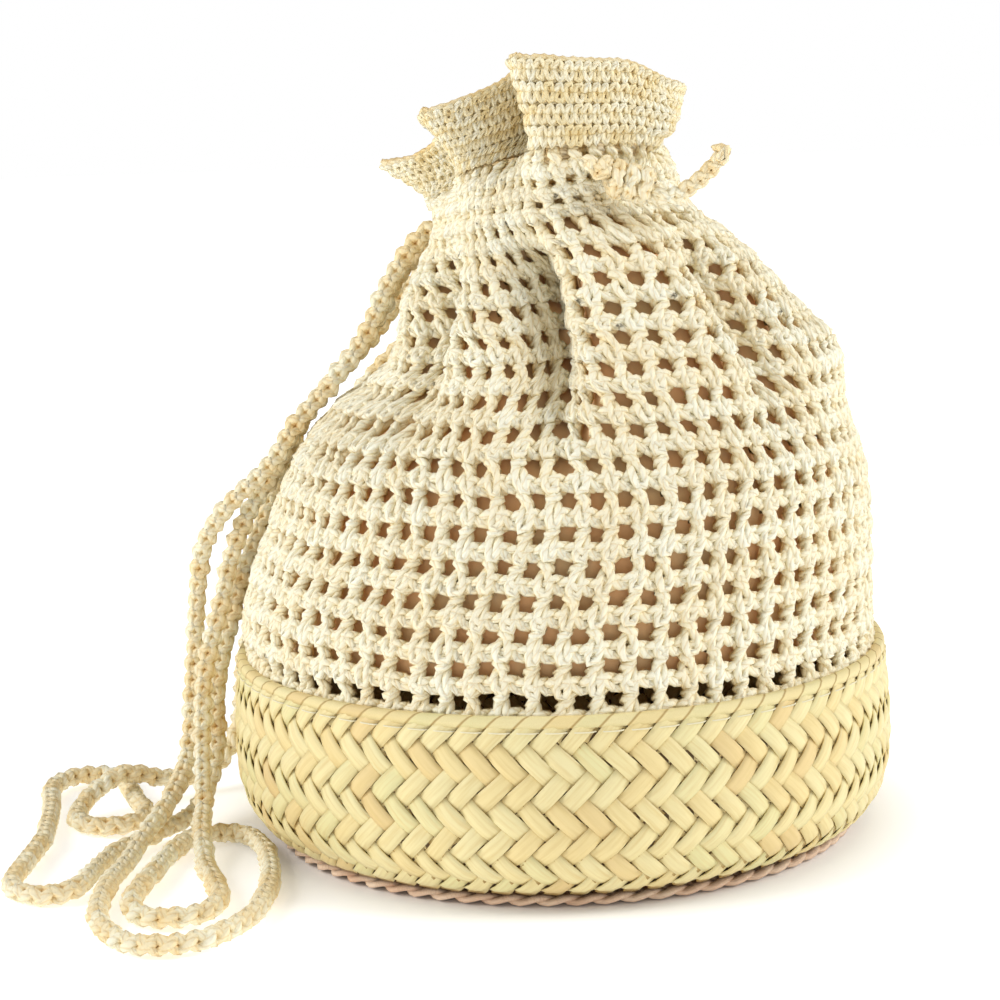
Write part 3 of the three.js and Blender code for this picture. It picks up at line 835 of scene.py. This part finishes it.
def clothRing(row):
    columns, pad = clothGrid["columns"], clothGrid["pad"]
    foot, top, *_, run, _ = folds[0]
    if row <= neckRow:
        places = np.linspace(0, len(clothBelowNeck) - 1, 2001)
        below = clothBelowNeck[0] * (1 - row / neckRow)
        place = np.interp(-below, -columnAt(clothBelowNeck, places), places)
        foldAngle = top + (foot - top) * min(below / run, 1)
        return spreadRing(lambda angle: bodyPoint(angle, place), row, columns, pad, foldAngle)
    if row <= openRow:
        last = len(clothBelowNeck) - 1.0
        low = spreadRing(lambda angle: bodyPoint(angle, last), neckRow, columns, pad, top)
        high = spreadRing(lambda angle: frillPoint(angle, 0.0), openRow, columns, pad, top)
        return low + (high - low) * (row - neckRow)
    up = np.interp(row, [openRow, borderRow, allRows], [0, crochet["openShare"], 1])
    return spreadRing(lambda angle: frillPoint(angle, up), row, columns, pad, top)


clothLevels = np.linspace(0, 1, allRows * clothGrid["perRow"] + 1)
clothPoints = np.stack([clothRing(level * allRows) for level in clothLevels])
cloth = surfaceMesh("cloth", clothPoints, clothGrid["pad"], clothLevels)
print("cloth shaped")


# Closed skin of rings, where the last ring meets the first
def ringMesh(name, rings):
    count, sides, _ = rings.shape
    corner = np.arange(count * sides).reshape(count, sides)
    right = np.roll(corner, -1, axis=1)
    quads = np.stack([corner, right, np.roll(right, -1, axis=0), np.roll(corner, -1, axis=0)], axis=-1)
    mesh = bpy.data.meshes.new(name)
    mesh.from_pydata(rings.reshape(-1, 3).tolist(), [], quads.reshape(-1, 4).tolist())
    mesh.shade_smooth()
    return mesh


# Lining: a plain cloth close behind the open mesh
lining = {"behind": 0.0058, "thickness": 0.0006, "rows": (1.9, 17.0), "everyColumn": 4}
clothAround = np.gradient(clothPoints, axis=1)
clothOut = np.cross(clothAround, np.gradient(clothPoints, axis=0))
clothOut /= np.linalg.norm(clothOut, axis=2)[..., None]
liningRows = (clothLevels * allRows >= lining["rows"][0]) & (clothLevels * allRows <= lining["rows"][1])
liningColumns = slice(clothGrid["pad"], clothGrid["pad"] + clothGrid["columns"], lining["everyColumn"])
liningPoints = clothPoints[liningRows][:, liningColumns]
liningOut = clothOut[liningRows][:, liningColumns]
liningFace = liningPoints - liningOut * lining["behind"]
liningBack = liningFace - liningOut * lining["thickness"]
mesh = ringMesh("lining_cloth", np.concatenate([liningFace, liningBack[::-1]]))
addPiece("lining_cloth", mesh, liningFinish, "lining")

# One stitch of the open mesh: a bar of three plaited strands, a post whose loop hooks over the bar, and a
# wrap round the post. Each kind of stitch is a little different.
meshStitch = {
    "kinds": 8,
    "pitch": (0.0117, 0.0122),
    "yarn": 0.00182,
    "barSpread": 0.0022,
    "barWeave": 0.0011,
    "barOut": 0.0010,
    "barSteps": 5,
    "barSides": 5,
    "postSteps": 13,
    "wrapSteps": 4,
    "postSides": 5,
    "uneven": 0.00035,
    "post": [
        (0.0013, 0.0112, -0.0008), (0.0015, 0.0085, 0.0004), (0.0, 0.0060, 0.0014),
        (-0.0018, 0.0034, 0.0018), (-0.0020, 0.0, 0.0024), (-0.0013, -0.0028, 0.0023),
        (0.0013, -0.0028, 0.0023), (0.0020, 0.0, 0.0024), (0.0018, 0.0034, 0.0015),
        (0.0004, 0.0060, -0.0010), (-0.0014, 0.0085, -0.0002), (-0.0013, 0.0112, -0.0008),
    ],
    "wrap": [
        (-0.0020, 0.0046, -0.0006), (-0.0016, 0.0058, 0.0012), (0.0002, 0.0068, 0.0021),
        (0.0018, 0.0078, 0.0011), (0.0020, 0.0086, -0.0008),
    ],
}


def withEnds(path):
    return np.vstack([2 * path[0] - path[1], path, 2 * path[-1] - path[-2]])


# Path through points that are moved a little, in stitch units
def unevenPath(points, mirror, steps, scale, uneven, chance):
    moved = np.array(points) * (mirror, 1, 1) + chance.normal(0, uneven, (len(points), 3))
    return withEnds(smoothPath(moved, steps + 1) / scale + (0.5, 0, 0))


def meshCell(name, stitch, kind):
    chance = np.random.default_rng(kind)
    mirror = 1 - 2 * (kind % 2)
    across, tall = stitch["pitch"]
    scale = np.array([across, tall, 1])
    yarn = stitch["yarn"]
    strands = []
    share = np.arange(-1, stitch["barSteps"] + 2) / stitch["barSteps"]
    middle = np.clip(np.sin(np.pi * share), 0, 1) ** 2  # the ends stay put, to meet the next stitch
    for third in range(3):
        phase = 2 * np.pi * (2 * share + third) / 3
        sway, swell = chance.normal(0, 2 * stitch["uneven"], 2)
        up = (stitch["barSpread"] * np.sin(phase) + sway * middle) / tall
        out = stitch["barOut"] + stitch["barWeave"] * np.sin(2 * phase) + swell * middle
        strands.append((np.stack([share, up, out], axis=1), yarn, yarn, stitch["barSides"]))
    for part, steps in (("post", stitch["postSteps"]), ("wrap", stitch["wrapSteps"])):
        path = unevenPath(stitch[part], mirror, steps, scale, stitch["uneven"], chance)
        strands.append((path, yarn, yarn, stitch["postSides"]))
    return strandMesh(name, strands, scale, flat=True)


meshStitches = stitchSet("mesh_stitches", [meshCell(f"mesh_stitch_{kind}", meshStitch, kind)
                                           for kind in range(meshStitch["kinds"])])
meshBands = {
    "crochet_low": (0, 6, "crochet_body"),
    "crochet_middle": (6, 6, "crochet_body"),
    "crochet_top": (12, 6, "crochet_body"),
    "frill_mesh": (openRow, crochet["openRows"], "frill"),
}
for bandSeed, (name, (lowRow, rowCount, node)) in enumerate(meshBands.items()):
    growPiece(name, cloth, wrapTree, cotton, node, {
        "Stitches": meshStitches, "Kinds": meshStitch["kinds"], "Row Kinds": 1, "Columns": crochet["columns"],
        "Rows": rowCount, "Low Row": float(lowRow), "All Rows": float(allRows), "Lift": crochet["inset"],
        "Wobble": crochet["wobble"], "Wobble Scale": crochet["wobbleScale"], "Seed": bandSeed})

# Close stitches of the border, in rows worked to and fro: a V in front of two bars, or one upside down
borderStitch = {
    "kinds": 4,  # of each
    "pitch": (0.0044, 0.0042),
    "yarn": 0.00125,
    "loopSteps": 6,
    "barSteps": 3,
    "sides": 5,
    "uneven": 0.00025,
    "barYarn": 0.0015,
    "bars": [(0.0038, -0.0007, 0.0003), (0.0017, -0.0012, 0.0003)],  # height, out and sway of each
    "vee": [
        (-0.0018, 0.0046, -0.0012), (-0.0016, 0.0030, 0.0007), (-0.0010, 0.0011, 0.0013),
        (0.0, 0.0002, 0.0014),
        (0.0010, 0.0011, 0.0013), (0.0016, 0.0030, 0.0007), (0.0018, 0.0046, -0.0012),
    ],
    "turned": [
        (-0.0018, -0.0006, -0.0012), (-0.0016, 0.0010, 0.0008), (-0.0010, 0.0026, 0.0014),
        (0.0001, 0.0034, 0.0015),
        (0.0011, 0.0025, 0.0012), (0.0016, 0.0009, 0.0007), (0.0018, -0.0006, -0.0012),
    ],
}


def borderCell(name, stitch, loop, kind):
    chance = np.random.default_rng(kind)
    scale = np.array([*stitch["pitch"], 1])
    yarn = stitch["yarn"]
    path = unevenPath(stitch[loop], 1, stitch["loopSteps"], scale, stitch["uneven"], chance)
    strands = [(path, yarn, yarn, stitch["sides"])]
    share = np.arange(-1, stitch["barSteps"] + 2) / stitch["barSteps"]
    for height, out, sway in stitch["bars"]:
        up = (height + sway * np.cos(2 * np.pi * share)) / stitch["pitch"][1]
        bar = np.stack([share, up, np.full_like(share, out)], axis=1)
        strands.append((bar, stitch["barYarn"], stitch["barYarn"], stitch["sides"]))
    return strandMesh(name, strands, scale, flat=True)


borderStitches = stitchSet("border_stitches", [
    borderCell(f"border_{order}_{loop}_{kind}", borderStitch, loop, kind)
    for order, loop in enumerate(("vee", "turned")) for kind in range(borderStitch["kinds"])])
growPiece("frill_border", cloth, wrapTree, frillCotton, "frill", {
    "Stitches": borderStitches, "Kinds": borderStitch["kinds"], "Row Kinds": 2,
    "Columns": crochet["borderColumns"], "Rows": crochet["borderRows"], "Low Row": float(borderRow),
    "All Rows": float(allRows), "Lift": crochet["inset"], "Wobble": crochet["wobble"],
    "Wobble Scale": crochet["wobbleScale"], "Seed": 9})
print("crochet worked")

# Neck cord, a ring in the open row, and its knot with a short tail
neckCord = {**strapCord, "pitch": 0.0056, "ring": 0.0016, "weave": 0.0003, "yarn": 0.0017, "uneven": 0.0002}
neckPeriods = cordPeriods("neck_period", neckCord)
ringAngles = np.linspace(-180, 180, neck["cordSamples"], endpoint=False)
ringPath = pointAt(ringAngles, neck["cordRing"], neck["centreX"], neck["height"] + neckLift(ringAngles))
ringCarrier = pathMesh("neck_ring", ringPath, closed=True)
growPiece("neck_cord_plait", ringCarrier, plaitTree, cordCotton, "neck_cord", {
    "Stitches": neckPeriods, "Kinds": neckCord["kinds"], "Period": neckCord["pitch"], "Closed": True,
    "Seed": 4})

knot = {
    "centre": (0.0301, -0.0517, 0.2690),
    "samples": 360,
    "lead": [(-0.0165, -0.0010, 0.0085), (-0.0140, -0.0030, 0.0070)],
    "turns": 3.5,
    "turnSteps": 8,
    "length": 0.0190,
    "radius": 0.0050,
    "slope": -0.3,  # of the lump, down to the right
    "tail": [
        (0.0125, -0.0043, -0.0060), (0.0175, -0.0043, -0.0062), (0.0239, -0.0043, -0.0030),
        (0.0300, -0.0043, 0.0020), (0.0345, -0.0043, 0.0066), (0.0368, -0.0060, 0.0092),
        (0.0362, -0.0036, 0.0112), (0.0345, -0.0030, 0.0096),
    ],
}
coilShare = np.linspace(0, 1, int(knot["turnSteps"] * knot["turns"]) + 1)
coilTurn = 2 * np.pi * knot["turns"] * coilShare
coilAlong = (coilShare - 0.5) * knot["length"]
coil = np.stack([coilAlong, -knot["radius"] * np.cos(coilTurn),
                 knot["slope"] * coilAlong + knot["radius"] * np.sin(coilTurn)], axis=1)
knotPath = smoothPath(np.vstack([knot["lead"], coil, knot["tail"]]) + knot["centre"], knot["samples"])
knotCarrier = pathMesh("knot_path", knotPath)
growPiece("neck_knot", knotCarrier, plaitTree, cordCotton, "neck_cord_knot", {
    "Stitches": neckPeriods, "Kinds": neckCord["kinds"], "Period": neckCord["pitch"], "Closed": False,
    "Seed": 5})
print("neck cord threaded and knotted")

# Basket wall: palm strips in a twill that goes up the outside, over the rim and down the inside
basket = {
    "outline": [(0.120, 0.0058), (0.1275, 0.009), (0.133, 0.016), (0.1364, 0.027), (0.1373, 0.042),
                (0.1364, 0.060), (0.1346, 0.076), (0.134, 0.077)],  # radius and height
    "rim": [(0.1338, 0.0773), (0.1325, 0.0776), (0.1313, 0.0773)],
    "wall": 0.003,
    "columns": 80,
    "rowPitch": 0.0107,
    "rimRow": 0.62,  # from the rim down to the middle of the first row, in rows
    "inset": -0.0007,
    "wobble": (0.16, 0.12, 0.0002),
    "wobbleScale": 0.7,
}
tile = {
    "pitch": 0.0107,
    "kinds": 5,  # in each direction
    "width": 0.0071,
    "length": 0.0215,
    "thickness": 0.0006,
    "rise": 0.0009,
    "flatShare": 0.12,  # of the float, at the top of its rise
    "crown": 0.0003,
    "steps": 6,
    "across": 3,
    "unevenTurn": 0.035,  # radians
    "unevenWidth": 0.0003,
}
wallGrid = {"outlineSteps": 160, "rows": 240, "columns": 240, "pad": 3}
rimHeight = basket["outline"][-1][1]
outer = smoothPath([(radius, 0, height) for radius, height in basket["outline"]], wallGrid["outlineSteps"])
rim = [(radius, 0, height) for radius, height in basket["rim"]]
inner = (outer - (basket["wall"], 0, 0))[::-1]
profile = np.vstack([outer, rim, inner])
profileLengths = np.concatenate([[0], np.cumsum(np.linalg.norm(np.diff(profile, axis=0), axis=1))])
wallRows = profileLengths[-1] / basket["rowPitch"]
rimRows = profileLengths[len(outer)] / basket["rowPitch"]
wallLevels = np.linspace(0, 1, wallGrid["rows"] + 1)
wallRadius = np.interp(wallLevels * profileLengths[-1], profileLengths, profile[:, 0])
wallHeight = np.interp(wallLevels * profileLengths[-1], profileLengths, profile[:, 2])
wallSteps = np.arange(-wallGrid["pad"], wallGrid["columns"] + wallGrid["pad"] + 1)
wallAngles = -180 + 360 * wallSteps / wallGrid["columns"]
wallRings = [pointAt(wallAngles, radius, 0.0, height) for radius, height in zip(wallRadius, wallHeight)]
wallSurface = surfaceMesh("wall_surface", np.stack(wallRings), wallGrid["pad"], wallLevels)


# One float of a palm strip: it rises over two others and dives under at both ends
def tileCell(name, tile, lean, centre, kind):
    chance = np.random.default_rng(kind)
    turn = lean + chance.normal(0, tile["unevenTurn"])
    width = tile["width"] + chance.normal(0, tile["unevenWidth"])
    steps, across = tile["steps"], tile["across"]
    along = np.linspace(-1, 1, steps + 1)
    side = np.linspace(-1, 1, across + 1)
    fromFlat = np.clip(np.abs(along) * (1 + tile["flatShare"]) - tile["flatShare"], 0, 1)
    lift = tile["rise"] * np.cos(np.pi * fromFlat)
    crown = tile["crown"] * (1 - side ** 2)
    top = lift[:, None] + crown[None, :]
    x = along[:, None] * tile["length"] / 2 + 0 * side[None, :]
    y = side[None, :] * width / 2 + 0 * along[:, None]
    turnedX = x * math.cos(turn) - y * math.sin(turn)
    turnedY = x * math.sin(turn) + y * math.cos(turn)
    spines = np.stack([turnedX, turnedY, 0 * x], -1) / (tile["pitch"], tile["pitch"], 1) + (*centre, 0)
    upper = np.stack([0 * top, 0 * top, top], -1)
    lower = upper - (0, 0, tile["thickness"])
    count = (steps + 1) * (across + 1)
    corner = np.arange(count).reshape(steps + 1, across + 1)
    faces = []
    maps = []

    def spot(index):
        place = index % count
        return (x.ravel()[place], (y.ravel()[place] / width) + 0.5)

    def addFace(face):
        faces.append(face)
        maps.extend(spot(index) for index in face)

    for i in range(steps):
        for k in range(across):
            quad = (corner[i, k], corner[i + 1, k], corner[i + 1, k + 1], corner[i, k + 1])
            addFace(tuple(int(index) for index in quad))
            addFace(tuple(int(index) + count for index in quad[::-1]))
    border = [*corner[:-1, 0], *corner[-1, :-1], *corner[:0:-1, -1], *corner[0, :0:-1]]
    for near, far in zip(border, border[1:] + border[:1]):
        addFace((int(near), int(near) + count, int(far) + count, int(far)))
    depth = np.repeat((lift - lift.min()) / np.ptp(lift), across + 1)
    return cellObject(name, np.vstack([upper.reshape(-1, 3), lower.reshape(-1, 3)]),
                      np.vstack([spines.reshape(-1, 3)] * 2), faces, maps, np.tile(depth, 2))


lowestRow = (rimRows - basket["rimRow"] - 0.5) % 1
tileRows = int(wallRows - lowestRow)
rimIsEven = int(rimRows - basket["rimRow"] - lowestRow) % 2 == 0
rising = (math.pi / 4, (0.25, 0.5))
falling = (-math.pi / 4, (0.75, 0.5))
leans = (rising, falling) if rimIsEven else (falling, rising)
tiles = stitchSet("tiles", [tileCell(f"tile_{order}_{kind}", tile, *lean, kind + order * tile["kinds"])
                            for order, lean in enumerate(leans) for kind in range(tile["kinds"])])
growPiece("basket_weave", wallSurface, wrapTree, palm, "basket_wall", {
    "Stitches": tiles, "Kinds": tile["kinds"], "Row Kinds": 2, "Columns": basket["columns"], "Rows": tileRows,
    "Low Row": lowestRow, "All Rows": float(wallRows), "Lift": basket["inset"], "Wobble": basket["wobble"],
    "Wobble Scale": basket["wobbleScale"], "Seed": 21})

# Turned wall under the floats, which shows only as the dark of the gaps
underWeave = {"depth": 0.0013, "thickness": 0.0005, "rimDrop": 0.0012, "sides": 96}
underOuter = [(radius - underWeave["depth"], min(height, rimHeight - underWeave["rimDrop"]))
              for radius, height in basket["outline"][:-1]]
underInner = [(radius - underWeave["thickness"], height) for radius, height in underOuter[::-1]]
underAngles = np.linspace(0, 360, underWeave["sides"], endpoint=False)
underRings = [pointAt(underAngles, radius, 0.0, height) for radius, height in underOuter + underInner]
mesh = ringMesh("basket_under_weave", np.stack(underRings))
addPiece("basket_under_weave", mesh, underPalm, "basket_wall")

# Rim: the strips are folded over the edge, so it shows as slanting strip ends
rimFold = {
    "section": [(0.1351, 0.0738), (0.1353, 0.0760), (0.1345, 0.0776), (0.1327, 0.0781), (0.1310, 0.0774),
                (0.1304, 0.0745), (0.1309, 0.0745), (0.1330, 0.0772), (0.1344, 0.0755), (0.1346, 0.0738)],
    "lean": [0, 0.9, 1.7, 2.4, 3.2, 4.1, 4.1, 2.4, 1.0, 0],  # degrees
    "strips": 80,
    "facets": 4,  # per strip
}
rimSides = np.arange(rimFold["strips"] * rimFold["facets"])
rimAngles = 360 * rimSides / len(rimSides)
rimRings = [pointAt(rimAngles + lean, radius, 0.0, height)
            for (radius, height), lean in zip(rimFold["section"], rimFold["lean"])]
mesh = ringMesh("rim_fold", np.stack(rimRings))
rimTone = np.random.default_rng(3).random(rimFold["strips"])[rimSides // rimFold["facets"]]
# painted shade: a depth of 0 at the first facet of each strip gives a dark line at each strip edge
rimShadeDepth = np.where(rimSides % rimFold["facets"] == 0, 0.0, 1.0)
for attribute, domain, values in (("tone", "FACE", rimTone), ("depth", "POINT", rimShadeDepth)):
    values = np.tile(values, len(rimFold["section"]))
    mesh.attributes.new(attribute, "FLOAT", domain).data.foreach_set("value", values)
mesh.uv_layers.new(name="yarn")
addPiece("rim_fold", mesh, palm, "basket_wall")

# Thread that holds the folded rim, in long running stitches
thread = {
    "below": 0.0048,  # the rim
    "radius": 0.0003,
    "stitch": 0.0095,
    "gap": 0.0012,
    "lift": 0.0008,
    "dip": 0.0012,  # of the ends of a stitch
    "sides": 6,
    "steps": 5,
    "samples": 480,
}
threadPeriod = thread["stitch"] + thread["gap"]
threadHeight = rimHeight - thread["below"]
outlineRadius, outlineHeight = zip(*basket["outline"])
threadRadius = float(np.interp(threadHeight, outlineHeight, outlineRadius)) + thread["lift"]
threadAngles = np.linspace(-180, 180, thread["samples"], endpoint=False)
threadPath = pointAt(threadAngles, threadRadius, 0.0, threadHeight)
threadSteps = np.linspace(0, 1, thread["steps"] + 1)
threadDip = thread["dip"] * (np.abs(threadSteps * 2 - 1) ** 6) * -1
threadAlong = threadSteps * (thread["stitch"] / threadPeriod)
threadStrand = withEnds(np.stack([threadAlong, threadDip, 0 * threadSteps], axis=1))
threadStrands = [(threadStrand, thread["radius"], thread["radius"], thread["sides"])]
threadCell = strandMesh("thread_stitch", threadStrands, (threadPeriod, 1, 1), flat=False)
threadStitch = stitchSet("thread_stitch", [threadCell])
threadCarrier = pathMesh("thread_path", threadPath, closed=True)
growPiece("rim_thread", threadCarrier, plaitTree, threadFinish, "basket_wall", {
    "Stitches": threadStitch, "Kinds": 1, "Period": threadPeriod, "Closed": True, "Seed": 6})

# Base: one flat palm plait sewn in a spiral, whose last turn is the pinkish edge under the wall
base = {"edge": 0.1170, "middle": 0.004, "turnPitch": 0.0106, "height": 0.00275, "samples": 2600}
basePlait = {
    "pitch": 0.0104,
    "spread": 0.0036,
    "weave": 0.0010,
    "yarnWidth": 0.0023,
    "yarnDepth": 0.0014,
    "steps": 4,
    "sides": 5,
}
basePeriod = plaitPeriod("base_period", basePlait)
turns = (base["edge"] - base["middle"]) / base["turnPitch"]
spiral = np.linspace(0, 1, base["samples"]) ** 0.5
spiralReach = base["edge"] - base["middle"] + base["turnPitch"]
spiralRadius = np.minimum(base["middle"] + spiralReach * spiral, base["edge"])
spiralAngle = 360 * (turns + 1) * spiral
basePath = pointAt(spiralAngle, spiralRadius, 0.0, base["height"])
growPiece("base_plait", pathMesh("base_path", basePath), plaitTree, palmEdge, "basket_base", {
    "Stitches": basePeriod, "Kinds": 1, "Period": basePlait["pitch"], "Closed": False, "Seed": 7})
print("basket plaited")

for cell in cells:
    bpy.data.objects.remove(cell)
for group in stitchSets:
    bpy.data.collections.remove(group)

# Floor, sky and lamps of the studio
studio = {
    "floorHalf": 8.0,
    "floorColour": (0.92, 0.92, 0.92),
    "glowFar": 1.2,
    "glowLevels": [(0.097, 0.0), (0.134, 0.45), (0.3, 0.5), (1.0, 0.8)],  # share of glowFar, and strength
    "sky": 0.41,
    "aim": (0.0, 0.0, 0.14),
}
# The floor glows, which is painted light that also lights the bag from below. The glow is none within the
# basket's foot and rises outward, which leaves a painted contact shadow round the basket.
floorFinish, floorTree, floorShader = newFinish("pale floor")
floorShader.inputs["Base Color"].default_value = (*studio["floorColour"], 1)
floorShader.inputs["Roughness"].default_value = 0.95
floorShader.inputs["Emission Color"].default_value = (1, 1, 1, 1)
floorPlace = objectPlace(floorTree)
floorReach = addNode(floorTree, "ShaderNodeVectorMath", {0: floorPlace}, operation="LENGTH").outputs["Value"]
floorGlow = rampOf(floorTree, mathOf(floorTree, "DIVIDE", floorReach, studio["glowFar"]),
                   [(share, (level, level, level)) for share, level in studio["glowLevels"]])
floorTree.links.new(floorGlow, floorShader.inputs["Emission Strength"])
floorMesh = bpy.data.meshes.new("floor")
half = studio["floorHalf"]
floorCorners = [(-half, -half, 0), (half, -half, 0), (half, half, 0), (-half, half, 0)]
floorMesh.from_pydata(floorCorners, [], [(0, 1, 2, 3)])
floorMesh.materials.append(floorFinish)
floor = bpy.data.objects.new("floor", floorMesh)
scene.collection.objects.link(floor)

# The sky lights softly, and looks plain white
world = bpy.data.worlds.new("studio")
world.use_nodes = True
skyTree = world.node_tree
background = skyTree.nodes["Background"]
background.inputs["Color"].default_value = (1, 1, 1, 1)
seen = addNode(skyTree, "ShaderNodeLightPath").outputs["Is Camera Ray"]
skyLight = rangeOf(skyTree, seen, 0.0, 1.0, studio["sky"], 1.0)
skyTree.links.new(skyLight, background.inputs["Strength"])
scene.world = world

lamps = {
    "key": {"place": (1.6, -0.35, 1.3), "size": 0.9, "power": 22},
    "fill": {"place": (-1.6, -0.4, 1.1), "size": 1.2, "power": 21},
}
for name, lamp in lamps.items():
    lampData = bpy.data.lights.new(name, "AREA")
    lampData.shape = "SQUARE"
    lampData.size = lamp["size"]
    lampData.energy = lamp["power"]
    light = bpy.data.objects.new(name, lampData)
    light.location = lamp["place"]
    light.rotation_euler = (Vector(studio["aim"]) - Vector(lamp["place"])).to_track_quat("-Z", "Y").to_euler()
    scene.collection.objects.link(light)
print("studio lit")
